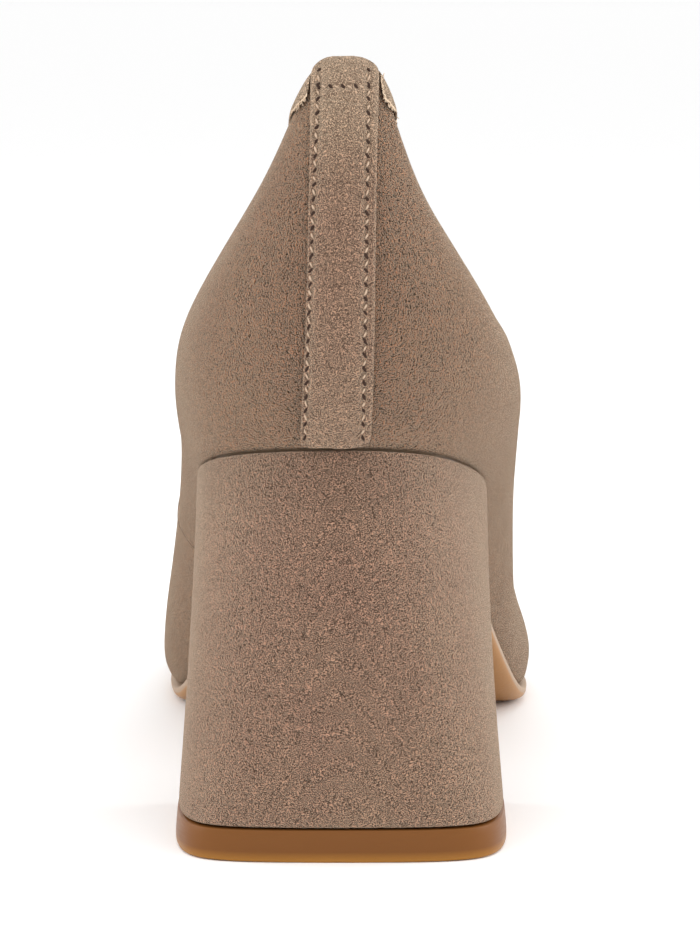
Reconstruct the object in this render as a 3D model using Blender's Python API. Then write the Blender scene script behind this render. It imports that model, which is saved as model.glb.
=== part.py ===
"""Block heel pump, the right shoe of a pair, in suede with a covered heel.

The shoe is built in its own coordinates: x runs to the outer side of the foot,
y from the rearmost point of the heel towards the toe, z up from the floor. All
pieces hang from one empty, which puts the middle of the heel on the origin.

Run it with: blender --background --python part.py
"""

import math

import bmesh
import bpy
import numpy as np
from mathutils import Vector

# Driving sizes of the last, in metres.
SHOE_LENGTH = 0.2408  # rearmost point of the counter to the toe, level
BALL_WIDTH = 0.0784  # across the upper at the joints
HEEL_HEIGHT = 0.0730  # floor to the seam above the heel, at the back
BACK_HEIGHT = 0.0656  # that seam to the topline, at the back
THROAT_HEIGHT = 0.0460  # insole to the topline, at the throat
TOE_SPRING = 0.0055  # lift of the toe tip off the floor

# Thicknesses and gaps.
WALL = 0.0018  # suede, stiffener and lining together
SOLE_THICKNESS = 0.0035
SOLE_EDGE = 0.0007  # the outsole stands out past the upper by this much
SOLE_ROUND_WIDE = 0.0040  # the worn lower corner of the outsole
SOLE_ROUND_HIGH = 0.0017
SOLE_TOP_INSET = 0.0003
SOLE_TOP_ROUND = 0.0004
INSOLE_THICKNESS = 0.0026
CLEARANCE = 0.0003  # between pieces that touch in the real shoe

# Heel and top lift.
HEEL_DEPTH = 0.0520  # rearmost point to the breast, under the seat
HEEL_FOOT_DEPTH = 0.0462  # the same at the floor
HEEL_FOOT_SQUARE = 1.35  # 1 keeps the seat's outline, more squares the corners
HEEL_FLARE = 0.0034  # how much the block widens on each side, seat to floor
HEEL_FLARE_CURVE = 1.35  # above 1 it widens mostly towards the floor
HEEL_LIP = 0.0004  # the cover stands out past the upper's edge by this much
BREAST_ROUND = 0.0012
LIFT_THICKNESS = 0.0058
LIFT_EDGE = 0.0001  # past the heel's foot, at the lift's top
LIFT_SPREAD = 0.0004  # wider still at the lift's foot
LIFT_ROUND = 0.0006

# Trim.
STRIP_FOOT_WIDTH = 0.0123
STRIP_TOP_WIDTH = 0.0109
STRIP_TAPER = 1.5  # above 1 the strip narrows mostly towards its top
STRIP_START = 0.03  # above the seam, as a share of the seam to the bulge
STRIP_THICKNESS = 0.0009
STRIP_FOOT_OFFSET = -0.0010  # the sewn strip leans a little to the outer side
STRIP_TOP_OFFSET = 0.0008
STRIP_TURN_IN = 0.28  # folded down inside, as a share of the bulge to the top
BINDING_BACK_WIDTH = 0.0052  # beside the strip, folded out over the topline
BINDING_FOLD_ROWS = (0.9, 1.95)  # rows over which that fold slips back inside
BINDING_CROWN = 0.6  # from there it starts at this share of the edge's arc
BINDING_TURN_IN = 0.0026
BINDING_THICKNESS = 0.0006
BINDING_EDGE_LIFT = 0.0002  # its raw edges stand off the wall

# How the side of the last rolls: out from the feather, round the bulge, and
# fuller under the ridge of the vamp.
FOOT_TUCK_OUT = 1.6
FOOT_TUCK_UP = 0.7
BULGE_ROLL = 1.3
RIDGE_FULLNESS = 0.12

# How finely the pieces are cut.
RIBS_PER_ROW = 3
FOOT_LEVELS = 3  # feather to bulge
WALL_LEVELS = 7  # bulge to topline
WALL_LEVEL_CROWDING = 1.3  # above 1 they are closer together towards the topline
EDGE_STEPS = 4
HEEL_LEVELS = 6
STRIP_LINES = 8
SOLE_ROUND_STEPS = 3
LIFT_ROUND_STEPS = 2

SUEDE = (0.335, 0.228, 0.160)
TAN = (0.420, 0.205, 0.075)
LINING = (0.560, 0.420, 0.290)

# The last, one row for each section from the back of the heel to the toe tip.
# along: share of SHOE_LENGTH. outer and inner: shares of BALL_WIDTH, measured
# from the heel's centre line. feather is the edge where the upper meets what
# is under it, and bulge is the widest line of the upper's side; up is the
# bulge's height above the feather, as a share of BACK_HEIGHT. stand: how far the
# side stands upright above the bulge before it turns in, outer and inner.
LAST_ROWS = [
    # feather              bulge                       stand
    # along outer  inner   along  outer  inner  up     outer inner
    (0.010, 0.000, 0.000, 0.000, 0.000, 0.000, 0.320, 1.00, 1.00),
    (0.016, 0.127, 0.150, 0.008, 0.160, 0.160, 0.315, 1.00, 1.00),
    (0.035, 0.219, 0.264, 0.031, 0.288, 0.282, 0.300, 1.00, 1.00),
    (0.082, 0.282, 0.317, 0.082, 0.368, 0.354, 0.275, 1.00, 1.00),
    (0.153, 0.328, 0.328, 0.153, 0.412, 0.384, 0.260, 1.00, 1.00),
    (0.224, 0.342, 0.314, 0.224, 0.429, 0.396, 0.255, 1.00, 1.00),
    (0.299, 0.336, 0.288, 0.299, 0.434, 0.394, 0.260, 1.00, 1.00),
    (0.382, 0.348, 0.281, 0.382, 0.437, 0.409, 0.250, 1.05, 1.00),
    (0.457, 0.394, 0.332, 0.457, 0.447, 0.436, 0.215, 1.00, 1.00),
    (0.532, 0.456, 0.410, 0.532, 0.470, 0.469, 0.143, 0.45, 1.10),
    (0.606, 0.497, 0.460, 0.606, 0.514, 0.490, 0.108, 0.25, 1.10),
    (0.681, 0.474, 0.464, 0.681, 0.492, 0.489, 0.125, 0.70, 1.00),
    (0.764, 0.412, 0.430, 0.764, 0.434, 0.452, 0.125, 0.65, 0.95),
    (0.847, 0.306, 0.363, 0.851, 0.328, 0.382, 0.122, 0.80, 0.90),
    (0.918, 0.190, 0.276, 0.924, 0.209, 0.294, 0.118, 0.90, 0.90),
    (0.966, 0.080, 0.178, 0.974, 0.092, 0.190, 0.114, 1.00, 1.00),
    (0.990, -0.051, 0.051, 1.000, -0.051, 0.051, 0.112, 1.00, 1.00),
]

# The topline, for the first rows of the last, round to the middle of the
# throat. along, outer, inner: as above. height: share of the drop from the back
# of the topline to the throat. lean: how far the wall leans in there, degrees.
COLLAR_ROWS = [
    # along outer  inner  height lean
    (0.031, 0.000, 0.000, 1.000, 16.0),
    (0.038, 0.087, 0.065, 0.979, 18.0),
    (0.059, 0.139, 0.140, 0.836, 26.0),
    (0.091, 0.212, 0.222, 0.700, 30.0),
    (0.158, 0.328, 0.339, 0.520, 28.0),
    (0.224, 0.400, 0.382, 0.410, 20.0),
    (0.299, 0.399, 0.386, 0.330, 14.0),
    (0.382, 0.398, 0.380, 0.249, 12.0),
    (0.457, 0.385, 0.368, 0.178, 16.0),
    (0.532, 0.345, 0.338, 0.100, 28.0),
    (0.606, 0.225, 0.245, 0.022, 58.0),
    (0.648, -0.020, 0.020, 0.000, 90.0),
]

# The ridge of the vamp, for the rows from the throat to the toe tip. along and
# middle: as above. height: share of THROAT_HEIGHT above the feather.
RIDGE_ROWS = [
    # along  middle  height  lean
    (0.648, -0.020, 1.000, 90.0),
    (0.732, -0.030, 0.815, 90.0),
    (0.817, -0.040, 0.650, 90.0),
    (0.890, -0.047, 0.512, 90.0),
    (0.943, -0.051, 0.418, 84.0),
    (0.974, -0.051, 0.350, 64.0),
]

# Height of the feather line. along: share of SHOE_LENGTH. rise: share of the
# seat's height above the forefoot. slope: share of the seat's height lost over
# one SHOE_LENGTH.
SEAT_AND_ARCH = [
    # along  rise    slope
    (0.010, 1.0000, -1.22),
    (0.224, 0.7770, -1.57),
    (0.465, 0.2200, -2.50),
    (0.585, 0.0000, 0.00),
]
BALL_END = 0.660  # the flat tread ends and the toe spring begins here

TIP_ROW = len(LAST_ROWS) - 1
THROAT_ROW = len(COLLAR_ROWS) - 1
LOOP_ROWS = 2 * TIP_ROW
EDGE_ANGLES = [math.pi * k / EDGE_STEPS for k in range(EDGE_STEPS + 1)]
BACK_TOP = HEEL_HEIGHT + BACK_HEIGHT
TREAD_HEIGHT = SOLE_THICKNESS + CLEARANCE


def unit(vector):
    return vector / np.linalg.norm(vector)


def hermite(low, high, low_slope, high_slope, share):
    """Cubic between two values, with slopes given per whole interval."""
    s2, s3 = share**2, share**3
    return (
        low * (2 * s3 - 3 * s2 + 1)
        + low_slope * (s3 - 2 * s2 + share)
        + high * (3 * s2 - 2 * s3)
        + high_slope * (s3 - s2)
    )


def fade(low, high, value):
    share = min(max((value - low) / (high - low), 0.0), 1.0)
    return share * share * (3.0 - 2.0 * share)


class Rail:
    """A smooth curve through one point for each row."""

    def __init__(self, points, closed):
        self.points = np.array(points, float)
        self.closed = closed
        count = len(self.points)
        system = 4.0 * np.eye(count) + np.eye(count, k=1) + np.eye(count, k=-1)
        ahead = np.roll(self.points, -1, axis=0)
        behind = np.roll(self.points, 1, axis=0)
        if closed:
            system[0, -1] = system[-1, 0] = 1.0
        else:
            system[0, 0] = system[-1, -1] = 2.0
            behind[0], ahead[-1] = self.points[0], self.points[-1]
        self.slopes = np.linalg.solve(system, 3.0 * (ahead - behind))

    def at(self, row):
        count = len(self.points)
        if not self.closed:
            row = min(max(row, 0.0), count - 1.0)
        first = int(math.floor(row)) if self.closed else min(int(row), count - 2)
        low, high = first % count, (first + 1) % count
        return hermite(
            self.points[low],
            self.points[high],
            self.slopes[low],
            self.slopes[high],
            row - first,
        )


def feather_height(y):
    """Height of the last's bottom above the floor, y metres from the back."""
    drop = HEEL_HEIGHT - TREAD_HEIGHT
    along = y / SHOE_LENGTH
    if along >= BALL_END:
        share = (along - BALL_END) / (1.0 - BALL_END)
        return TREAD_HEIGHT + TOE_SPRING * share**2
    if along >= SEAT_AND_ARCH[-1][0]:
        return TREAD_HEIGHT
    spans = list(zip(SEAT_AND_ARCH, SEAT_AND_ARCH[1:]))
    low, high = next((s for s in spans if along < s[1][0]), spans[-1])
    step = high[0] - low[0]
    rise = hermite(
        low[1], high[1], low[2] * step, high[2] * step, (along - low[0]) / step
    )
    return TREAD_HEIGHT + drop * rise


def closed_rail(rows, outer_point, inner_point):
    """Rail round the loop: back, outer side, tip, and the inner side back."""
    outer = [outer_point(row) for row in rows]
    inner = [inner_point(row) for row in rows[1:-1]]
    return Rail(outer + inner[::-1], closed=True)


def collar_height(share):
    low = TREAD_HEIGHT + THROAT_HEIGHT
    return low + share * (BACK_TOP - low)


FEATHER = closed_rail(
    LAST_ROWS,
    lambda row: (row[1] * BALL_WIDTH, row[0] * SHOE_LENGTH),
    lambda row: (-row[2] * BALL_WIDTH, row[0] * SHOE_LENGTH),
)
BULGE = closed_rail(
    LAST_ROWS,
    lambda row: (row[4] * BALL_WIDTH, row[3] * SHOE_LENGTH, row[6] * BACK_HEIGHT, row[7]),
    lambda row: (-row[5] * BALL_WIDTH, row[3] * SHOE_LENGTH, row[6] * BACK_HEIGHT, row[8]),
)
COLLAR = closed_rail(
    COLLAR_ROWS,
    lambda row: (row[1] * BALL_WIDTH, row[0] * SHOE_LENGTH, collar_height(row[3])),
    lambda row: (-row[2] * BALL_WIDTH, row[0] * SHOE_LENGTH, collar_height(row[3])),
)
RIDGE = Rail(
    [
        (
            middle * BALL_WIDTH,
            along * SHOE_LENGTH,
            feather_height(along * SHOE_LENGTH) + height * THROAT_HEIGHT,
        )
        for along, middle, height, lean in RIDGE_ROWS
    ],
    closed=False,
)
COLLAR_LEAN = Rail([(row[4],) for row in COLLAR_ROWS], closed=False)
RIDGE_LEAN = Rail([(row[3],) for row in RIDGE_ROWS], closed=False)


def side_row(row):
    """Rows counted from the back on either side: 0 at the back, TIP_ROW at the toe."""
    row = row % LOOP_ROWS
    return min(row, LOOP_ROWS - row)


def feather(row, out=0.0, up=0.0):
    """Point of the feather line, moved outwards level and then up."""
    x, y = FEATHER.at(row)
    if out:
        ahead = FEATHER.at(row + 0.02) - FEATHER.at(row - 0.02)
        x, y = np.array([x, y]) + out * unit(np.array([ahead[1], -ahead[0]]))
    return np.array([x, y, feather_height(y) + up])


def top_edge(row):
    """Point of the topline or, past the throat, of the vamp's ridge."""
    count = side_row(row)
    if count <= THROAT_ROW:
        return COLLAR.at(count if row % LOOP_ROWS == count else -count)
    return RIDGE.at(count - THROAT_ROW)


def top_lean(row):
    count = side_row(row)
    if count <= THROAT_ROW:
        return math.radians(COLLAR_LEAN.at(count)[0])
    return math.radians(RIDGE_LEAN.at(count - THROAT_ROW)[0])


def skin(row, level):
    """Outer face of the upper. Level 0 is the feather, 1 the bulge, 2 the top."""
    foot = feather(row)
    x, y, up, stand = BULGE.at(row)
    side = np.array([x, y, foot[2] + up])
    if level < 1.0:
        reach = side - foot
        tuck = reach * np.array([FOOT_TUCK_OUT, FOOT_TUCK_OUT, FOOT_TUCK_UP])
        return hermite(foot, side, tuck, np.array([0.0, 0.0, BULGE_ROLL * up]), level)
    top = top_edge(row)
    reach = top - side
    length = np.linalg.norm(reach)
    inward = unit(reach * np.array([1.0, 1.0, 0.0]))
    lean = top_lean(row)
    rise = stand * length * np.array([0.0, 0.0, 1.0])
    roll = math.sin(lean) * inward + math.cos(lean) * np.array([0.0, 0.0, 1.0])
    roll *= length * (1.0 + RIDGE_FULLNESS * math.sin(lean) ** 4)
    return hermite(side, top, rise, roll, level - 1.0)


def one_sided_normal(row, level):
    step = 0.04
    near = min(level, 2.0 - step) if side_row(row) >= THROAT_ROW else level
    ahead = skin(row + step, near) - skin(row - step, near)
    rise = skin(row, min(level + step, 2.0)) - skin(row, max(level - step, 0.0))
    return unit(np.cross(ahead, rise))


def skin_normal(row, level):
    """Outward normal; on the vamp's ridge both sides share one."""
    normal = one_sided_normal(row, level)
    if level >= 2.0 and side_row(row) >= THROAT_ROW:
        normal = unit(normal + one_sided_normal(-row, level))
    return normal


def edge_frame(row):
    """Middle of the wall at the topline, its outward normal, and the way down it."""
    count = side_row(row)
    top, normal = skin(row, 2.0), skin_normal(row, 2.0)
    at = count if row % LOOP_ROWS == count else -count
    turn = COLLAR.at(at + 0.05) - COLLAR.at(at - 0.05)
    square = unit(np.cross(turn, normal))
    rib = unit(skin(row, 1.9) - top)
    share = fade(1.0, 3.0, count)
    down = rib * (1.0 - share) + square * share
    down = unit(down - normal * np.dot(down, normal))
    return top - normal * WALL / 2.0, normal, down


def over_edge(row, out, angles):
    """Points over the wall's edge, `out` from its face, from outside to inside."""
    middle, normal, down = edge_frame(row)
    return [
        middle + (WALL / 2.0 + out) * (math.cos(a) * normal - math.sin(a) * down)
        for a in angles
    ]


def offset_skin(row, level, out):
    return skin(row, level) + out * skin_normal(row, level)


def wall_levels():
    shares = [k / WALL_LEVELS for k in range(WALL_LEVELS + 1)]
    return [2.0 - (1.0 - share) ** WALL_LEVEL_CROWDING for share in shares]


def find_row(low, high, miss):
    """Row between low and high at which miss changes sign."""
    sign = miss(low) > 0.0
    for _ in range(40):
        middle = (low + high) / 2.0
        if (miss(middle) > 0.0) == sign:
            low = middle
        else:
            high = middle
    return (low + high) / 2.0


def lofted(name, sections, skip=None):
    """Mesh through sections of equal length, welded where they touch."""
    bm = bmesh.new()
    along, across = len(sections) - 1, len(sections[0]) - 1
    bmesh.ops.create_grid(bm, x_segments=along, y_segments=across, size=0.5)
    cells = {}
    for vert in bm.verts:
        i = round((vert.co.x + 0.5) * along)
        j = round((vert.co.y + 0.5) * across)
        cells[vert] = (i, j)
        vert.co = Vector(sections[i][j])
    if skip:
        spare = []
        for face in bm.faces:
            corner = [cells[vert] for vert in face.verts]
            if skip(min(c[0] for c in corner), min(c[1] for c in corner)):
                spare.append(face)
        bmesh.ops.delete(bm, geom=spare, context="FACES")
    bmesh.ops.remove_doubles(bm, verts=bm.verts, dist=0.00002)
    return name, bm


def close_ends(bm):
    rim = [edge for edge in bm.edges if edge.is_boundary]
    bmesh.ops.holes_fill(bm, edges=rim, sides=0)


def make_piece(built, colour, roughness, root, crease=40.0):
    """Object with its own material from a finished mesh, hung from the root."""
    name, bm = built
    bmesh.ops.recalc_face_normals(bm, faces=bm.faces)
    mesh = bpy.data.meshes.new(name)
    bm.to_mesh(mesh)
    bm.free()
    mesh.shade_smooth()
    mesh.set_sharp_from_angle(angle=math.radians(crease))
    material = bpy.data.materials.new(name + "_material")
    material.use_nodes = True
    shader = material.node_tree.nodes["Principled BSDF"]
    shader.inputs["Base Color"].default_value = (*colour, 1.0)
    shader.inputs["Roughness"].default_value = roughness
    shader.inputs["Metallic"].default_value = 0.0
    mesh.materials.append(material)
    piece = bpy.data.objects.new(name, mesh)
    bpy.context.scene.collection.objects.link(piece)
    piece.parent = root
    return piece


def upper_section(row):
    """Closed outline of the wall: outside up, over the edge, inside down."""
    levels = [k / FOOT_LEVELS for k in range(FOOT_LEVELS)]
    levels += wall_levels()
    outside = [skin(row, level) for level in levels]
    inside = [offset_skin(row, level, -WALL) for level in levels[:0:-1]]
    edge = over_edge(row, 0.0, EDGE_ANGLES[1:-1])
    return outside + edge + inside + [feather(row, -WALL), outside[0]]


def build_upper():
    ribs = RIBS_PER_ROW * LOOP_ROWS
    sections = [upper_section(k / RIBS_PER_ROW) for k in range(ribs)]
    sections.append(sections[0])
    first_vamp = RIBS_PER_ROW * THROAT_ROW
    edge = FOOT_LEVELS + WALL_LEVELS

    def over_vamp(rib, step):
        vamp = first_vamp <= rib < ribs - first_vamp
        return vamp and edge <= step < edge + EDGE_STEPS

    return lofted("upper", sections, skip=over_vamp)


def slab_sections(rows, side_points):
    """Closed sections across a sole: down one side and up the other."""
    sections = []
    for row in rows:
        outer, inner = side_points(row), side_points(-row)
        sections.append(outer + inner[::-1] + [outer[0]])
    return sections


def rows_between(first, last):
    """First, the ribs between, and last."""
    ribs = range(TIP_ROW * RIBS_PER_ROW + 1)
    margin = 0.3 / RIBS_PER_ROW
    between = [k / RIBS_PER_ROW for k in ribs]
    kept = [row for row in between if first + margin < row < last - margin]
    return [first] + kept + [last]


def rounded_corner(wide, high, steps):
    """Steps in and up from an upright side round to a flat foot."""
    turns = [math.pi / 2.0 * k / steps for k in range(steps + 1)]
    return [(wide * (math.cos(t) - 1.0), high * (1.0 - math.sin(t))) for t in turns]


def build_insole():
    inset = -(WALL + CLEARANCE)

    def side_points(row):
        return [
            feather(row, inset, INSOLE_THICKNESS),
            feather(row, inset, 0.0),
        ]

    return lofted("insole", slab_sections(rows_between(0.0, TIP_ROW), side_points))


def build_outsole():
    start = HEEL_DEPTH + CLEARANCE
    first = find_row(4.0, 6.0, lambda row: feather(row)[1] - start)
    profile = [(-SOLE_TOP_INSET, -CLEARANCE), (0.0, -CLEARANCE - SOLE_TOP_ROUND)]
    corner = rounded_corner(SOLE_ROUND_WIDE, SOLE_ROUND_HIGH, SOLE_ROUND_STEPS)
    profile += [(out, up - TREAD_HEIGHT) for out, up in corner]

    def side_points(row):
        points = [feather(row, SOLE_EDGE + out, up) for out, up in profile]
        if row in (first, -first):
            for point in points:
                point[1] = start
        return points

    name, bm = lofted("outsole", slab_sections(rows_between(first, TIP_ROW), side_points))
    close_ends(bm)
    return name, bm


HEEL_BREAST_ROW = find_row(4.0, 6.0, lambda row: feather(row)[1] - HEEL_DEPTH)
HEEL_FOOT = LIFT_THICKNESS + CLEARANCE
HEEL_BACK = float(feather(0.0, HEEL_LIP)[1])
SEAT_HALF = float(feather(4.0, HEEL_LIP)[0])


def heel_side(row, down, out=0.0):
    """Point of the heel's side, down 0 at the seat and 1 at the foot."""
    top = feather(row, HEEL_LIP + out, -CLEARANCE)
    even = feather(-side_row(row), HEEL_LIP + out)  # the foot is alike on both sides
    if abs(side_row(row) - HEEL_BREAST_ROW) < 0.0001:
        top[1] = HEEL_DEPTH + out
    foot_x = math.copysign(even[0], row) * (1.0 + HEEL_FLARE / SEAT_HALF)
    share = max((top[1] - out - HEEL_BACK) / (HEEL_DEPTH - HEEL_BACK), 0.0)
    foot_y = HEEL_FOOT_DEPTH * share**HEEL_FOOT_SQUARE
    x = top[0] + (foot_x - top[0]) * down**HEEL_FLARE_CURVE
    y = top[1] + (foot_y - top[1]) * down
    return np.array([x, y, top[2] + (HEEL_FOOT - top[2]) * down])


def round_breast(bm):
    """Soften the two upright corners of the front face."""
    front = HEEL_FOOT_DEPTH - BREAST_ROUND

    def upright(edge):
        low, high = sorted((vert.co for vert in edge.verts), key=lambda co: co.z)
        return (
            len(edge.link_faces) == 2
            and edge.calc_face_angle() > math.radians(60.0)
            and min(low.y, high.y) > front
            and high.z - low.z > abs(high.y - low.y)
            and abs(low.x) > BALL_WIDTH / 4.0
        )

    bmesh.ops.bevel(
        bm,
        geom=[edge for edge in bm.edges if upright(edge)],
        offset=BREAST_ROUND,
        segments=2,
        profile=0.5,
        affect="EDGES",
        material=-1,
    )


def build_heel():
    def side_points(row):
        return [heel_side(row, k / HEEL_LEVELS) for k in range(HEEL_LEVELS + 1)]

    rows = rows_between(0.0, HEEL_BREAST_ROW)
    name, bm = lofted("heel_block", slab_sections(rows, side_points))
    close_ends(bm)
    round_breast(bm)
    return name, bm


def build_lift():
    foot = LIFT_EDGE + LIFT_SPREAD
    corner = rounded_corner(LIFT_ROUND, LIFT_ROUND, LIFT_ROUND_STEPS)
    profile = [(LIFT_EDGE, LIFT_THICKNESS)]
    profile += [(foot + out, up) for out, up in corner]

    def side_points(row):
        points = [heel_side(row, 1.0, out) for out, up in profile]
        for point, (_, up) in zip(points, profile):
            point[2] = up
        return points

    rows = rows_between(0.0, HEEL_BREAST_ROW)
    name, bm = lofted("top_lift", slab_sections(rows, side_points))
    close_ends(bm)
    return name, bm


def strip_width(level):
    share = (level / 2.0) ** STRIP_TAPER
    return STRIP_FOOT_WIDTH + (STRIP_TOP_WIDTH - STRIP_FOOT_WIDTH) * share


def strip_middle(level):
    return STRIP_FOOT_OFFSET + (STRIP_TOP_OFFSET - STRIP_FOOT_OFFSET) * level / 2.0


def strip_row(level, across):
    """Row of the loop where a share of the back strip's width crosses a level."""
    target = strip_middle(level) + across * strip_width(level)
    return find_row(-2.0, 2.0, lambda row: skin(row, level)[0] - target)


def build_strip():
    """Strip sewn up the back seam and folded over the topline."""
    face, back = CLEARANCE + STRIP_THICKNESS, CLEARANCE
    lines = [k / STRIP_LINES - 0.5 for k in range(STRIP_LINES + 1)]
    climb = [k / FOOT_LEVELS for k in range(FOOT_LEVELS)]
    levels = [STRIP_START + (1.0 - STRIP_START) * share for share in climb]
    levels += wall_levels()
    turned = [2.0 - STRIP_TURN_IN * k / 2.0 for k in range(3)]

    def run(across, out):
        path = [offset_skin(strip_row(level, across), level, out) for level in levels]
        path += over_edge(strip_row(2.0, across), out, EDGE_ANGLES[1:-1])
        path += [
            offset_skin(strip_row(level, across), level, -WALL - out) for level in turned
        ]
        return path

    faces = [run(line, face) for line in lines]
    backs = [run(line, back) for line in lines]
    sections = []
    for k in range(len(faces[0])):
        ring = [path[k] for path in faces] + [path[k] for path in reversed(backs)]
        sections.append(ring + [ring[0]])
    name, bm = lofted("back_strip", sections)
    close_ends(bm)
    return name, bm


def below_edge(row, width):
    """Row and level of the outer face, `width` down from the topline."""
    target = skin(row, 2.0) + width * edge_frame(row)[2]
    at, step = np.array([float(row), 1.9]), 0.01
    for _ in range(8):
        here = skin(*at)
        along = (skin(at[0] + step, at[1]) - skin(at[0] - step, at[1])) / (2.0 * step)
        rise = (here - skin(at[0], at[1] - step)) / step
        move = np.linalg.lstsq(np.stack([along, rise], axis=1), target - here, rcond=None)
        at = at + move[0]
        at[1] = min(at[1], 2.0)
    return at


def strip_side(side, level):
    """Level place across the shoe of the binding's end, clear of the strip."""
    return strip_middle(level) + side * (strip_width(level) / 2.0 + CLEARANCE)


def beside_strip(row, width):
    """Row and level `width` down from the topline, along the strip's edge."""
    level = below_edge(row, width)[1]
    side = math.copysign(1.0, row)
    edge = strip_side(side, level)
    return find_row(0.0, 2.0 * side, lambda r: skin(r, level)[0] - edge), level


def rim_point(row, along, out, at_strip):
    """Point `out` from the wall, `along` its rim from the start of the edge's arc."""
    arc = math.pi * WALL / 2.0
    if along < 0.0:
        place = beside_strip(row, -along) if at_strip else below_edge(row, -along)
        return offset_skin(*place, out + BINDING_EDGE_LIFT)
    if along > arc:
        clear = out + BINDING_EDGE_LIFT
        return offset_skin(*below_edge(row, along - arc), -WALL - clear)
    return over_edge(row, out, [2.0 * along / WALL])[0]


def binding_section(row, at_strip):
    """Closed outline of the binding where it crosses one row of the topline."""
    arc = math.pi * WALL / 2.0
    inside = fade(*BINDING_FOLD_ROWS, side_row(row))
    start = BINDING_CROWN * arc * inside - BINDING_BACK_WIDTH * (1.0 - inside)
    stops = [max(start, arc * k / EDGE_STEPS) for k in range(EDGE_STEPS + 1)]
    stops = [start] + stops + [arc + BINDING_TURN_IN]
    out = CLEARANCE + BINDING_THICKNESS
    face = [rim_point(row, stop, out, at_strip) for stop in stops]
    back = [rim_point(row, stop, CLEARANCE, at_strip) for stop in stops]
    return face + back[::-1] + [face[0]]


def build_binding():
    """Binding inside the topline, from one edge of the strip to the other."""
    right = find_row(0.0, 2.0, lambda r: skin(r, 2.0)[0] - strip_side(1.0, 2.0))
    left = find_row(-2.0, 0.0, lambda r: skin(r, 2.0)[0] - strip_side(-1.0, 2.0))
    outer = rows_between(right, THROAT_ROW)
    inner = rows_between(-left, THROAT_ROW)
    rows = outer + [-row for row in reversed(inner[:-1])]
    sections = [binding_section(row, row in (right, left)) for row in rows]
    name, bm = lofted("collar_binding", sections)
    close_ends(bm)
    return name, bm


def main():
    for old in list(bpy.data.objects):
        bpy.data.objects.remove(old, do_unlink=True)
    root = bpy.data.objects.new("block_heel_pump", None)
    bpy.context.scene.collection.objects.link(root)
    root.location = (0.0, -(HEEL_BACK + HEEL_FOOT_DEPTH) / 2.0, 0.0)
    make_piece(build_upper(), SUEDE, 0.95, root)
    make_piece(build_strip(), SUEDE, 0.95, root)
    make_piece(build_binding(), LINING, 0.85, root)
    make_piece(build_insole(), LINING, 0.70, root)
    make_piece(build_outsole(), TAN, 0.45, root, crease=30.0)
    make_piece(build_heel(), SUEDE, 0.95, root)
    make_piece(build_lift(), TAN, 0.40, root, crease=30.0)


main()
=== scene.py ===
import math
import random

import bmesh
import bpy
from mathutils import Matrix, Vector
from mathutils.bvhtree import BVHTree


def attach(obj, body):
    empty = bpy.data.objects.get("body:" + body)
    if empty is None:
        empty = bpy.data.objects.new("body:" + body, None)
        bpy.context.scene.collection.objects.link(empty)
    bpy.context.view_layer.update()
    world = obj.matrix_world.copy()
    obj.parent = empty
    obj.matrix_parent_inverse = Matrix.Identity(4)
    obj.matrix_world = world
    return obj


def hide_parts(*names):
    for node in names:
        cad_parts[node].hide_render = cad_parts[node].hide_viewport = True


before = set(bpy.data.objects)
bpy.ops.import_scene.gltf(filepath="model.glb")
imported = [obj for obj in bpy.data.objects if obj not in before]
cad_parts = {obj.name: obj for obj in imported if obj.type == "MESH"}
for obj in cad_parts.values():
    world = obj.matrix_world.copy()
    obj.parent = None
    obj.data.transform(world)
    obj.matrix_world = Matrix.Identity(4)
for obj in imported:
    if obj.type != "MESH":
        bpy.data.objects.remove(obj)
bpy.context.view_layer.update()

# The camera stands straight behind the shoe, a little above the topline, and
# looks slightly down at the covered heel.
CAMERA_PLACE = (0.0016, -0.6441, 0.15644)
LOOKING_DOWN = 7.923  # degrees
FOCAL_LENGTH = 139.95
FILM_SIZE = 36.0

camera = bpy.data.objects.new("camera", bpy.data.cameras.new("camera"))
bpy.context.scene.collection.objects.link(camera)
bpy.context.scene.camera = camera
bpy.context.scene.view_settings.view_transform = "Standard"
camera.data.lens = FOCAL_LENGTH
camera.data.sensor_width = FILM_SIZE
camera.data.clip_start = 0.01
camera.location = CAMERA_PLACE
camera.rotation_euler = (math.radians(90.0 - LOOKING_DOWN), 0.0, 0.0)

# Upper: the suede counter, quarters and vamp with their lining, pulled over the
# last. The suede has a short nap that shades where it has been brushed, and the
# lining is smooth leather.
SPACE_MIDDLE = -0.001  # the foot's space, across
SPACE_FRONT = 0.19
SPACE_AT_HEEL, SPACE_AT_TOE = 0.085, 0.02
SPACE_FALL = 0.6

FIBRE_GRAIN = 5200.0  # grain is in cells per metre
TUFT_GRAIN = 1900.0
BRUSH_GRAIN = 120.0
HAND_GRAIN = 26.0
BRUSHED_DOWN = (0.94, 0.86, 0.86, 1.0)
BRUSHED_UP = (1.05, 1.07, 1.03, 1.0)


def node_mesh(node):
    """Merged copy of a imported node, its triangles joined back to quads."""
    bm = bmesh.new()
    bm.from_mesh(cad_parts[node].data)
    bmesh.ops.remove_doubles(bm, verts=bm.verts, dist=0.00001)
    bmesh.ops.join_triangles(
        bm,
        faces=bm.faces,
        angle_face_threshold=math.radians(60.0),
        angle_shape_threshold=math.radians(70.0),
    )
    return bm


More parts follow.
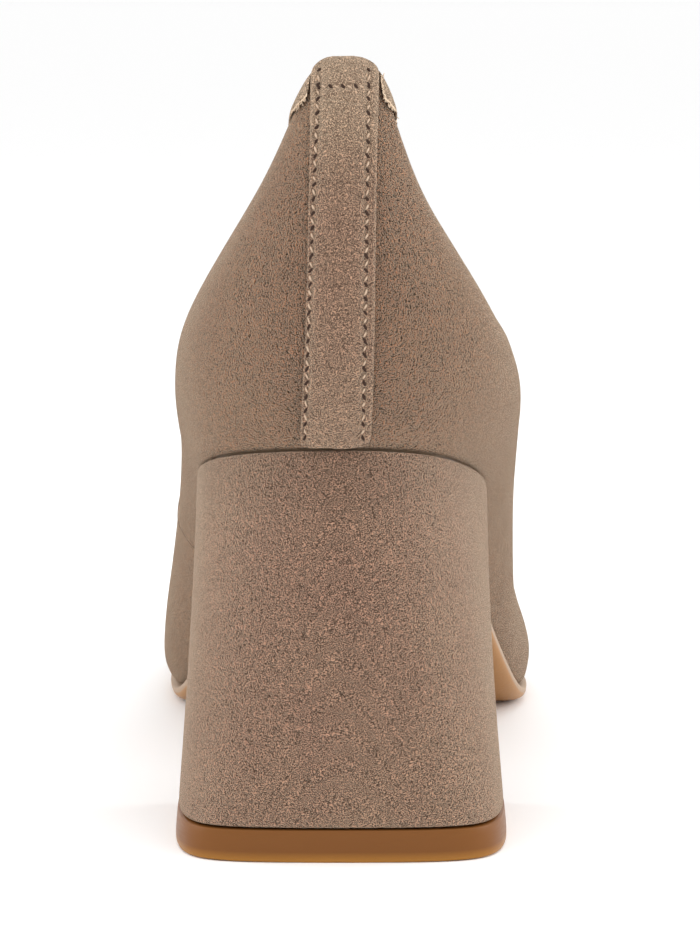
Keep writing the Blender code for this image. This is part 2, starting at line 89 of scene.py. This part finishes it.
def shoe_piece(name, bm, materials, smooth_levels=0, node=None):
    """Object from a finished mesh, on the shoe's one body."""
    mesh = bpy.data.meshes.new(name)
    bm.to_mesh(mesh)
    bm.free()
    for material in materials:
        mesh.materials.append(material)
    piece = bpy.data.objects.new(name, mesh)
    bpy.context.scene.collection.objects.link(piece)
    if smooth_levels:
        rounding = piece.modifiers.new("rounding", "SUBSURF")
        rounding.levels = rounding.render_levels = smooth_levels
        bpy.context.view_layer.update()
        shown = piece.evaluated_get(bpy.context.evaluated_depsgraph_get())
        piece.modifiers.clear()
        piece.data = bpy.data.meshes.new_from_object(shown)
        piece.data.name = name
    piece.data.shade_smooth()
    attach(piece, "root")
    if node:
        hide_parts(node)
    return piece


def surface_of(piece):
    piece.data.calc_loop_triangles()
    return BVHTree.FromPolygons(
        [vert.co for vert in piece.data.vertices],
        [triangle.vertices for triangle in piece.data.loop_triangles],
    )


def surface_place(tree):
    return tree.nodes.new("ShaderNodeTexCoord").outputs["Object"]


def cloud(tree, place, scale, detail, rough=0.5):
    node = tree.nodes.new("ShaderNodeTexNoise")
    node.inputs["Scale"].default_value = scale
    node.inputs["Detail"].default_value = detail
    node.inputs["Roughness"].default_value = rough
    tree.links.new(place, node.inputs["Vector"])
    return node.outputs["Fac"]


def spread(tree, value, low, high, out_low=0.0, out_high=1.0, kind="LINEAR"):
    """The range low to high of a value, spread over another range."""
    node = tree.nodes.new("ShaderNodeMapRange")
    node.interpolation_type = kind
    ends = (("From Min", low), ("From Max", high), ("To Min", out_low), ("To Max", out_high))
    for name, number in ends:
        node.inputs[name].default_value = number
    tree.links.new(value, node.inputs["Value"])
    return node.outputs["Result"]


def blend(tree, share, first, second, kind="MIX"):
    """Two colours blended, where each input is a value or a socket to link."""
    node = tree.nodes.new("ShaderNodeMix")
    node.data_type = "RGBA"
    node.blend_type = kind
    for value, socket in ((share, 0), (first, 6), (second, 7)):
        if isinstance(value, bpy.types.NodeSocket):
            tree.links.new(value, node.inputs[socket])
        else:
            node.inputs[socket].default_value = value
    return node.outputs[2]


def new_material(name):
    material = bpy.data.materials.new(name)
    material.use_nodes = True
    return material, material.node_tree, material.node_tree.nodes["Principled BSDF"]


def raise_surface(tree, shader, height, strength, distance):
    bump = tree.nodes.new("ShaderNodeBump")
    bump.inputs["Strength"].default_value = strength
    bump.inputs["Distance"].default_value = distance
    tree.links.new(height, bump.inputs["Height"])
    tree.links.new(bump.outputs["Normal"], shader.inputs["Normal"])


def nap_group():
    """Suede nap: fine speckle, brushed shading and the height of the fibres."""
    group = bpy.data.node_groups.new("suede_nap", "ShaderNodeTree")
    for socket, value in (("Deep", (0.15, 0.09, 0.06, 1.0)), ("Pale", (0.45, 0.33, 0.24, 1.0))):
        group.interface.new_socket(
            socket, in_out="INPUT", socket_type="NodeSocketColor"
        ).default_value = value
    for socket, kind in (("Color", "NodeSocketColor"), ("Height", "NodeSocketFloat")):
        group.interface.new_socket(socket, in_out="OUTPUT", socket_type=kind)
    enter, leave = group.nodes.new("NodeGroupInput"), group.nodes.new("NodeGroupOutput")
    place = surface_place(group)

    def add(first, second, weight):
        node = group.nodes.new("ShaderNodeMath")
        node.operation = "MULTIPLY_ADD"
        group.links.new(second, node.inputs[0])
        node.inputs[1].default_value = weight
        group.links.new(first, node.inputs[2])
        return node.outputs[0]

    fleck = spread(group, cloud(group, place, FIBRE_GRAIN, 1.0), 0.40, 0.60)
    tufts = cloud(group, place, TUFT_GRAIN, 1.0)
    speckle = add(spread(group, tufts, 0.3, 0.7, 0.0, 0.07), fleck, 0.93)
    colour = blend(group, speckle, enter.outputs["Deep"], enter.outputs["Pale"])

    brushed = spread(group, cloud(group, place, BRUSH_GRAIN, 3.0, 0.6), 0.3, 0.7, 0.0, 0.35)
    broad = spread(group, cloud(group, place, HAND_GRAIN, 2.0), 0.3, 0.7)
    shade = blend(group, add(brushed, broad, 0.65), BRUSHED_DOWN, BRUSHED_UP)
    colour = blend(group, 1.0, colour, shade, "MULTIPLY")

    group.links.new(colour, leave.inputs["Color"])
    group.links.new(add(fleck, tufts, 0.6), leave.inputs["Height"])
    return group


SUEDE_NAP = nap_group()


def suede(name, deep, pale, relief=0.0004):
    """Suede between two colours, its nap standing as high as the relief."""
    material, tree, shader = new_material(name)
    nap = tree.nodes.new("ShaderNodeGroup")
    nap.node_tree = SUEDE_NAP
    nap.inputs["Deep"].default_value = (*deep, 1.0)
    nap.inputs["Pale"].default_value = (*pale, 1.0)
    tree.links.new(nap.outputs["Color"], shader.inputs["Base Color"])
    raise_surface(tree, shader, nap.outputs["Height"], 1.0, relief)
    shader.inputs["Roughness"].default_value = 0.95
    shader.inputs["Specular IOR Level"].default_value = 0.15
    shader.inputs["Sheen Weight"].default_value = 1.0
    shader.inputs["Sheen Roughness"].default_value = 0.24
    shader.inputs["Sheen Tint"].default_value = (1.0, 0.82, 0.62, 1.0)
    return material


def smooth_leather(name, light, dark, roughness=0.5):
    """Fine-grained leather with faint clouding, also for thread and bare fibre."""
    material, tree, shader = new_material(name)
    place = surface_place(tree)
    grain = tree.nodes.new("ShaderNodeTexVoronoi")
    grain.inputs["Scale"].default_value = 1600.0
    tree.links.new(place, grain.inputs["Vector"])
    colour = blend(tree, cloud(tree, place, 90.0, 4.0), (*dark, 1.0), (*light, 1.0))
    tree.links.new(colour, shader.inputs["Base Color"])
    raise_surface(tree, shader, grain.outputs["Distance"], 0.25, 0.0001)
    shader.inputs["Roughness"].default_value = roughness
    return material


def lining_side(face):
    """Whether a face of the shell looks into the foot's space."""
    centre = face.calc_center_median()
    along = min(max(centre.y, 0.0), SPACE_FRONT)
    height = max(SPACE_AT_TOE, SPACE_AT_HEEL - SPACE_FALL * along)
    return face.normal.dot(centre - Vector((SPACE_MIDDLE, along, height))) < 0.0


TAUPE = suede("taupe_suede", (0.010, 0.005, 0.003), (0.460, 0.230, 0.129), relief=0.0006)
LINING = smooth_leather("lining_leather", light=(0.52, 0.385, 0.265), dark=(0.46, 0.33, 0.225))

shell = node_mesh("upper")
shell.normal_update()
for face in shell.faces:
    face.material_index = 1 if lining_side(face) else 0
upper = shoe_piece("upper_shell", shell, [TAUPE, LINING], 2, "upper")
UPPER_SKIN = surface_of(upper)

# Quarter seam: on the inner side the quarter and the vamp are closed edge to
# edge, which leaves a fine furrow. Its shade is painted: a thin three-cornered
# bead, a little darker than the suede, is laid on the upper along it.
QUARTER_SEAM = (  # forward, up
    (0.1000, 0.0560),
    (0.0850, 0.0490),
    (0.0770, 0.0452),
    (0.0722, 0.0435),
    (0.0697, 0.0416),
    (0.0680, 0.0395),
    (0.0660, 0.0375),
)
SEAM_STEPS = 12
SEAM_HALF = 0.0007
SEAM_CORNERS = ((1.0, -0.6), (0.0, 0.25), (-1.0, -0.6))  # along the skin, off the skin
INNER_SIDE = -0.08
OUTWARD_RAY = Vector((1.0, 0.0, 0.0))

FURROW_SHADE = smooth_leather("seam_furrow_shade", (0.21, 0.135, 0.085), (0.17, 0.105, 0.065), 0.9)

stops = []
for (y, z), (next_y, next_z) in zip(QUARTER_SEAM, QUARTER_SEAM[1:]):
    for step in range(SEAM_STEPS):
        share = step / SEAM_STEPS
        start = Vector((INNER_SIDE, y + (next_y - y) * share, z + (next_z - z) * share))
        hit, normal, _, _ = UPPER_SKIN.ray_cast(start, OUTWARD_RAY)
        if hit is not None:
            stops.append((hit, normal))

seam = bmesh.new()
corners = bmesh.ops.create_circle(seam, cap_ends=True, segments=3, radius=1.0)["verts"]
for corner, (along_skin, off_skin) in zip(corners, SEAM_CORNERS):
    corner.co = (along_skin, off_skin, 0.0)
rim = seam.edges[:]
for _ in stops[2:]:
    grown = bmesh.ops.extrude_edge_only(seam, edges=rim)["geom"]
    ring = [item for item in grown if isinstance(item, bmesh.types.BMVert)]
    bmesh.ops.translate(seam, verts=ring, vec=(0.0, 0.0, 1.0))
    rim = [edge for edge in seam.edges if edge.is_boundary]
bmesh.ops.holes_fill(seam, edges=rim, sides=3)
for vert in seam.verts:
    level = round(vert.co.z)
    place, out = stops[level]
    side = (stops[level + 1][0] - place).normalized().cross(out).normalized()
    vert.co = place + side * SEAM_HALF * vert.co.x + out * SEAM_HALF * vert.co.y
bmesh.ops.recalc_face_normals(seam, faces=seam.faces)
shoe_piece("quarter_seam", seam, [FURROW_SHADE])

# Back strip: a band of the same suede sewn over the back seam, folded over the
# topline and down inside. Its two rows of stitches pull it down along the edges,
# and one row across the top holds the fold.
STRIP_FOOT, STRIP_TOP = 0.0738, 0.1386
STRIP_LEAN = (-0.0010, 0.0008)  # the strip's middle at foot and top
STRIP_HALF = (0.00615, 0.00545)
STRIP_TAPER = 1.5
LEFT_INSET, RIGHT_INSET = 0.00095, 0.00140
STITCH_PITCH = 0.00242
STITCHES_END = 0.1393
CROSS_ROW = 0.1352
CROSS_STITCHES = 4

ROW_PULL, ROW_PULL_WIDTH = 0.00022, 0.00060
HOLE_PULL, HOLE_PULL_WIDTH = 0.00028, 0.00055
CROSS_PULL, CROSS_PULL_WIDTH = 0.00020, 0.00045
STRIP_CROWN = 0.00016
CREASES = ((0.1338, 0.10, 0.00010), (0.1328, -0.16, 0.00012), (0.1312, 0.08, 0.00007))
CREASE_WIDTH = 0.00028

LOOKS_BACK = -0.2  # faces and corners whose normal points further back than this
RUNG_RISE = 0.0004
RUNG_CUTS = 3
BEHIND_SHOE = -0.08
FORWARD = Vector((0.0, 1.0, 0.0))

THREAD_FLAT = 0.8
THREAD_DIP = 0.45
HOLE_DEPTH = 0.00012
HOLE_RISE = 0.00003

chance = random.Random(7)
STRIP_SUEDE = suede("strip_suede", (0.098, 0.061, 0.042), (0.585, 0.366, 0.245))


def height_on(tree):
    apart = tree.nodes.new("ShaderNodeSeparateXYZ")
    tree.links.new(surface_place(tree), apart.inputs[0])
    return apart.outputs["Z"]


def paint_light_and_shade_by_height(material, low, high, deep, pale):
    """Painted light and shade by height: between two heights both nap colours turn to new ones,
    paler where light is painted, darker where shade is painted.
    """
    tree = material.node_tree
    nap = next(node for node in tree.nodes if node.type == "GROUP")
    climb = spread(tree, height_on(tree), low, high, kind="SMOOTHSTEP")
    for socket, colour in (("Deep", deep), ("Pale", pale)):
        before = tuple(nap.inputs[socket].default_value)
        tree.links.new(blend(tree, climb, before, (*colour, 1.0)), nap.inputs[socket])


# Painted light: both nap colours turn paler from 0.118 m up to 0.138 m, where the strip's top
# faces up into the light.
paint_light_and_shade_by_height(STRIP_SUEDE, 0.118, 0.138, (0.195, 0.130, 0.090), (0.670, 0.465, 0.322))
# The thread is real, but its pale colour is a painted highlight where light catches the thread
# between the holes.
THREAD_WITH_HIGHLIGHT = smooth_leather("thread", (0.66, 0.49, 0.35), (0.42, 0.29, 0.20), 0.8)
# Painted shade: the needle holes are dark beads on the strip, standing in for the shadow inside
# each hole.
HOLE_SHADE = smooth_leather("hole_shade_bead", (0.050, 0.024, 0.014), (0.030, 0.014, 0.008), 0.95)


def strip_middle(height):
    share = (height - STRIP_FOOT) / (STRIP_TOP - STRIP_FOOT)
    return STRIP_LEAN[0] + (STRIP_LEAN[1] - STRIP_LEAN[0]) * share


def strip_half(height):
    share = min(max((height - STRIP_FOOT) / (STRIP_TOP - STRIP_FOOT), 0.0), 1.0)
    return STRIP_HALF[0] + (STRIP_HALF[1] - STRIP_HALF[0]) * share**STRIP_TAPER


def row_place(side, height):
    """How far a stitched row stands from the strip's middle."""
    return side * (strip_half(height) - (LEFT_INSET if side < 0.0 else RIGHT_INSET))


def dent(distance, width):
    return math.exp(-((distance / width) ** 2))


def pulled_in(across, height):
    """Depth to which the stitches and folds pull the strip's face."""
    depth = 0.0
    for side in (-1.0, 1.0):
        away = across - row_place(side, height)
        depth += ROW_PULL * dent(away, ROW_PULL_WIDTH)
        step = (height - STRIP_FOOT) % STITCH_PITCH
        step = min(step, STITCH_PITCH - step)
        depth += HOLE_PULL * dent(away, HOLE_PULL_WIDTH) * dent(step, HOLE_PULL_WIDTH)
    reach = strip_half(height) - LEFT_INSET
    if abs(across) < reach:
        depth += CROSS_PULL * dent(height - CROSS_ROW, CROSS_PULL_WIDTH)
        depth -= STRIP_CROWN * math.cos(across / reach * math.pi / 2.0)
        for level, tilt, rise in CREASES:
            depth += rise * dent(height - level - tilt * across, CREASE_WIDTH)
    return depth


strip = shoe_piece(
    "back_strip_band", node_mesh("back_strip"), [STRIP_SUEDE], 3, "back_strip"
)
dense = bmesh.new()
dense.from_mesh(strip.data)
dense.normal_update()
rungs = [
    edge
    for edge in dense.edges
    if abs(edge.verts[0].co.z - edge.verts[1].co.z) > RUNG_RISE
    and all(vert.normal.y < LOOKS_BACK for vert in edge.verts)
]
bmesh.ops.subdivide_edges(dense, edges=rungs, cuts=RUNG_CUTS, use_grid_fill=True)
dense.normal_update()
# All the moves are worked out before the first, because a moved corner changes
# the normals round it.
backward = [vert for vert in dense.verts if vert.normal.y < LOOKS_BACK]
moves = [
    vert.normal * -pulled_in(vert.co.x - strip_middle(vert.co.z), vert.co.z)
    for vert in backward
]
for vert, move in zip(backward, moves):
    vert.co += move
dense.to_mesh(strip.data)
dense.free()
STRIP_SKIN = surface_of(strip)


def from_behind(skin, x, z):
    """Where a skin is met from straight behind, and its normal there."""
    hit, normal, _, _ = skin.ray_cast(Vector((x, BEHIND_SHOE, z)), FORWARD)
    return None if hit is None else (hit, normal)


def thread_mesh(bm, start, end, out, radius):
    """One stitch between two needle holes, bowed outwards and dipping at its ends."""
    length = (end - start).length
    along = (end - start).normalized()
    turn = Matrix((along.cross(out).normalized(), out, along)).transposed().to_4x4()
    place = Matrix.Translation((start + end) / 2.0) @ turn
    made = bmesh.ops.create_uvsphere(bm, u_segments=10, v_segments=8, radius=1.0)
    for vert in made["verts"]:
        x, y, z = vert.co
        bow = 1.0 - z * z - THREAD_DIP
        vert.co = place @ Vector((x * radius, radius * (y * THREAD_FLAT + bow), z * length / 2.0))


# Painted shade: a flat dark bead on the strip's face in place of the shadow in a needle hole.
def hole_shade_bead(bm, hit, normal, lean_over):
    long = chance.uniform(0.00052, 0.00066)
    wide = chance.uniform(0.00023, 0.00029)
    tilt = Matrix.Rotation(lean_over * chance.uniform(0.45, 0.80), 4, normal)
    made = bmesh.ops.create_uvsphere(bm, u_segments=8, v_segments=6, radius=1.0)
    for vert in made["verts"]:
        x, y, z = vert.co
        vert.co = hit + tilt @ Vector((x * wide, y * HOLE_DEPTH, z * long)) + normal * HOLE_RISE


def stitch_row(threads, hole_shading, points, lean_over):
    """Needle holes where the points (x, z) meet the strip, each a slanted dark bead of painted
    shade, and the threads between them."""
    landed = [found for found in (from_behind(STRIP_SKIN, x, z) for x, z in points) if found]
    for (first, out), (last, _) in zip(landed, landed[1:]):
        along = (last - first).normalized()
        reach = (last - first).length
        slant = along.cross(out) * lean_over * chance.uniform(0.00020, 0.00026)
        start = first + along * reach * chance.uniform(0.20, 0.28) - slant
        end = last - along * reach * chance.uniform(0.28, 0.40) + slant
        thread_mesh(threads, start, end, out, chance.uniform(0.00017, 0.00021))
    for hit, normal in landed:
        hole_shade_bead(hole_shading, hit, normal, lean_over)


threads, hole_shading = bmesh.new(), bmesh.new()
for side in (-1.0, 1.0):
    row = []
    height = STRIP_FOOT + STITCH_PITCH / 2.0
    while height < STITCHES_END:
        row.append((strip_middle(height) + row_place(side, height), height))
        height += STITCH_PITCH
    stitch_row(threads, hole_shading, row, side)
cross_left, cross_right = row_place(-1.0, CROSS_ROW), row_place(1.0, CROSS_ROW)
cross = []
for count in range(CROSS_STITCHES + 1):
    across = cross_left + (cross_right - cross_left) * count / CROSS_STITCHES
    cross.append((strip_middle(CROSS_ROW) + across, CROSS_ROW))
stitch_row(threads, hole_shading, cross, 1.0)
shoe_piece("strip_stitches", threads, [THREAD_WITH_HIGHLIGHT])
shoe_piece("strip_hole_shade", hole_shading, [HOLE_SHADE])

# Collar binding: a thin facing of smoother, paler suede turned over the topline.
# Its cut lower edge is left raw beside the strip and frays. Dark beads of painted
# shade lie in the gaps between it and the counter, and along its upright edge on the outer side.
RAW_EDGES = ((-0.0092, -0.0058, 54), (0.0064, 0.0098, 60))  # from, to, fibres
SCAN_TOP, SCAN_FOOT, SCAN_STEP = 0.1375, 0.1270, 0.0001
FACING_STEP_BACK = 0.0006
FIBRE_FOOT, FIBRE_TIP = 0.00012, 0.00006
FIBRE_STAND_OFF = Vector((0.0, -0.00022, 0.0001))
FIBRES_PER_SHADE_BEAD = 3
SHADE_BEAD_SIZE = (0.00016, 0.00010, 0.00034)
SHADE_BEAD_BELOW = Vector((0.0, 0.0, -0.00022))

UPRIGHT_FOOT, UPRIGHT_TOP, UPRIGHT_PITCH = 0.1330, 0.1378, 0.00062
UPRIGHT_OFFSET = 0.00075
UPRIGHT_TILT = 0.25
UPRIGHT_LEAN = 0.35
UPRIGHT_FIBRE = 0.0006

BINDING_SUEDE = suede("binding_suede", (0.13, 0.085, 0.056), (0.68, 0.48, 0.34))
FRAYED = smooth_leather("frayed_fibre", (0.86, 0.69, 0.51), (0.72, 0.54, 0.38), 0.9)
RAW_GAP_SHADE = smooth_leather("raw_gap_shade", (0.075, 0.040, 0.024), (0.050, 0.026, 0.015), 0.95)

binding = shoe_piece(
    "collar_facing", node_mesh("collar_binding"), [BINDING_SUEDE], 2, "collar_binding"
)
FACING_SKIN = surface_of(binding)


def raw_edge(x):
    """Lowest place of the facing's outer face at this x, scanned downwards."""
    height, lowest = SCAN_TOP, None
    while height > SCAN_FOOT:
        found = from_behind(FACING_SKIN, x, height)
        if lowest and (not found or found[0].y > lowest[0].y + FACING_STEP_BACK):
            break
        if found:
            lowest = found
        height -= SCAN_STEP
    return lowest


def frayed_fibre(bm, place, aim, long):
    made = bmesh.ops.create_cone(
        bm, segments=4, radius1=FIBRE_FOOT, radius2=FIBRE_TIP, depth=long, cap_ends=True
    )
    turn = aim.to_track_quat("Z", "Y").to_matrix().to_4x4()
    laid = Matrix.Translation(place + aim * long * 0.4) @ turn
    bmesh.ops.transform(bm, matrix=laid, verts=made["verts"])


# Painted shade: a flat dark bead standing in for the shadow in the gap under the facing's edge.
def shade_bead(bm, place, tilt):
    made = bmesh.ops.create_uvsphere(bm, u_segments=8, v_segments=6, radius=1.0)
    turn = Matrix.Translation(place) @ Matrix.Rotation(tilt, 4, "Y")
    laid = turn @ Matrix.Diagonal((*SHADE_BEAD_SIZE, 1.0))
    bmesh.ops.transform(bm, matrix=laid, verts=made["verts"])


fray, gap_shading = bmesh.new(), bmesh.new()
for first, last, count in RAW_EDGES:
    for step in range(count):
        x = first + (last - first) * (step + chance.random()) / count
        found = raw_edge(x)
        if not found:
            continue
        hit = found[0]
        outward = math.copysign(1.0, x)
        aim = Vector((outward * chance.uniform(-0.3, 0.9), -0.25, -chance.uniform(0.3, 1.0)))
        long = chance.uniform(0.0004, 0.0010)
        frayed_fibre(fray, hit + FIBRE_STAND_OFF, aim.normalized(), long)
        # Every third fibre, a bead of painted shade in the gap under the raw edge.
        if step % FIBRES_PER_SHADE_BEAD == 0:
            shade_bead(gap_shading, hit + SHADE_BEAD_BELOW, outward * chance.uniform(-0.9, 0.3))

# Along the upright edge on the outer side: beads of painted shade in the gap, each with a frayed
# fibre.
height = UPRIGHT_FOOT
while height < UPRIGHT_TOP:
    x = strip_middle(height) + strip_half(height) + UPRIGHT_OFFSET
    found = from_behind(FACING_SKIN, x, height)
    if found:
        hit, normal = found
        shade_bead(gap_shading, hit + normal * 0.00002, UPRIGHT_TILT)
        aim = Vector((UPRIGHT_LEAN, 0.0, 1.0)) - normal * UPRIGHT_LEAN * normal.x
        root = hit + normal * 0.00008 + Vector((0.0004, 0.0, 0.0002))
        frayed_fibre(fray, root, aim.normalized(), UPRIGHT_FIBRE)
    height += UPRIGHT_PITCH
shoe_piece("raw_edge_fibres", fray, [FRAYED])
shoe_piece("raw_edge_shade", gap_shading, [RAW_GAP_SHADE])

# Insole board and sock: the board the upper is lasted over, with a smooth
# leather sock glued on top.
SOCK_EDGE = 0.0006

SOCK = smooth_leather("sock_leather", (0.50, 0.365, 0.25), (0.44, 0.31, 0.21), 0.42)


def eased(bm, width, angle=50.0, segments=3):
    """Round the edges of a mesh that are sharper than an angle in degrees."""
    sharp = [
        edge
        for edge in bm.edges
        if len(edge.link_faces) == 2 and edge.calc_face_angle() > math.radians(angle)
    ]
    bmesh.ops.bevel(
        bm, geom=sharp, offset=width, segments=segments, profile=0.5, affect="EDGES", material=-1
    )
    return bm


shoe_piece("sock", eased(node_mesh("insole"), SOCK_EDGE), [SOCK], 0, "insole")

# Outsole: caramel leather, paler on its trimmed edge, from the breast of the
# heel to the toe. It is glued under the lasted upper.
SOLE_LOOKS_DOWN = -0.30

CARAMEL = smooth_leather("caramel_leather", (0.370, 0.165, 0.030), (0.31, 0.13, 0.022), 0.4)
TRIMMED = smooth_leather("trimmed_edge", (0.40, 0.28, 0.19), (0.33, 0.22, 0.14), 0.6)

sole = node_mesh("outsole")
sole.normal_update()
for face in sole.faces:
    face.material_index = 1 if face.normal.z > SOLE_LOOKS_DOWN else 0
shoe_piece("sole_leather", sole, [CARAMEL, TRIMMED], 1, "outsole")

# Heel: a moulded block covered in the same suede, the cover glued round it and
# tucked under at the seat and at the lift. Its suede is painted darker towards the seat: painted
# shade under the counter.
COVER_EDGE = 0.0007

HEEL_SUEDE = suede("heel_suede", (0.068, 0.041, 0.028), (0.548, 0.323, 0.218))
# Painted shade: both nap colours turn darker from 0.056 m up to 0.072 m, where the counter shades
# the top of the heel.
paint_light_and_shade_by_height(HEEL_SUEDE, 0.056, 0.072, (0.054, 0.032, 0.022), (0.460, 0.268, 0.179))

cover = eased(node_mesh("heel_block"), COVER_EDGE)
shoe_piece("heel_cover", cover, [HEEL_SUEDE], 2, "heel_block")

# Top lift: a moulded caramel piece pinned under the block, satin, with fine
# scratches and a clearer lower rim.
LIFT_EDGE = 0.0004
RIM_FOOT, RIM_TOP = 0.0004, 0.0019
RIM_COLOUR = (0.345, 0.150, 0.026, 1.0)
LIFT_COLOUR = (0.185, 0.068, 0.014, 1.0)
SCRATCH_STRETCH = (1.0, 1.0, 14.0)


def lift_resin():
    material, tree, shader = new_material("lift_resin")
    rise = spread(tree, height_on(tree), RIM_FOOT, RIM_TOP)
    tree.links.new(blend(tree, rise, RIM_COLOUR, LIFT_COLOUR), shader.inputs["Base Color"])
    stroke = tree.nodes.new("ShaderNodeMapping")
    stroke.inputs["Scale"].default_value = SCRATCH_STRETCH
    tree.links.new(surface_place(tree), stroke.inputs["Vector"])
    scratch = cloud(tree, stroke.outputs["Vector"], 260.0, 5.0)
    satin = spread(tree, scratch, 0.0, 1.0, 0.26, 0.52)
    tree.links.new(satin, shader.inputs["Roughness"])
    raise_surface(tree, shader, scratch, 0.25, 0.00008)
    shader.inputs["Specular IOR Level"].default_value = 0.2
    return material


lift = eased(node_mesh("top_lift"), LIFT_EDGE, angle=60.0, segments=2)
shoe_piece("heel_lift", lift, [lift_resin()], 1, "top_lift")

# Studio: a white floor in white light, with a soft box on each side and one
# above, a little towards the camera.
FLOOR_HALF = 40.0
FLOOR_WHITE = (0.985, 0.985, 0.985, 1.0)

floor_mesh = bmesh.new()
bmesh.ops.create_grid(floor_mesh, x_segments=1, y_segments=1, size=FLOOR_HALF)
floor_data = bpy.data.meshes.new("floor")
floor_mesh.to_mesh(floor_data)
floor_mesh.free()
floor = bpy.data.objects.new("floor", floor_data)
bpy.context.scene.collection.objects.link(floor)
paper, _, paper_shader = new_material("white_paper")
paper_shader.inputs["Base Color"].default_value = FLOOR_WHITE
paper_shader.inputs["Roughness"].default_value = 0.9
floor.data.materials.append(paper)

world = bpy.data.worlds.new("studio")
bpy.context.scene.world = world
world.use_nodes = True
sky = world.node_tree.nodes["Background"]
sky.inputs["Color"].default_value = (1.0, 1.0, 1.0, 1.0)
sky.inputs["Strength"].default_value = 1.0


def soft_box(name, place, aim, width, power):
    lamp = bpy.data.objects.new(name, bpy.data.lights.new(name, "AREA"))
    bpy.context.scene.collection.objects.link(lamp)
    lamp.data.size = width
    lamp.data.energy = power
    lamp.location = place
    lamp.rotation_euler = (Vector(aim) - Vector(place)).to_track_quat("-Z", "Y").to_euler()


soft_box("left_box", (-0.9, 0.05, 0.45), (0.0, 0.0, 0.08), 0.7, 3.4)
soft_box("right_box", (0.9, 0.05, 0.45), (0.0, 0.0, 0.08), 0.7, 4.6)
soft_box("top_box", (0.0, -0.2, 1.1), (0.0, 0.0, 0.05), 0.8, 3.0)
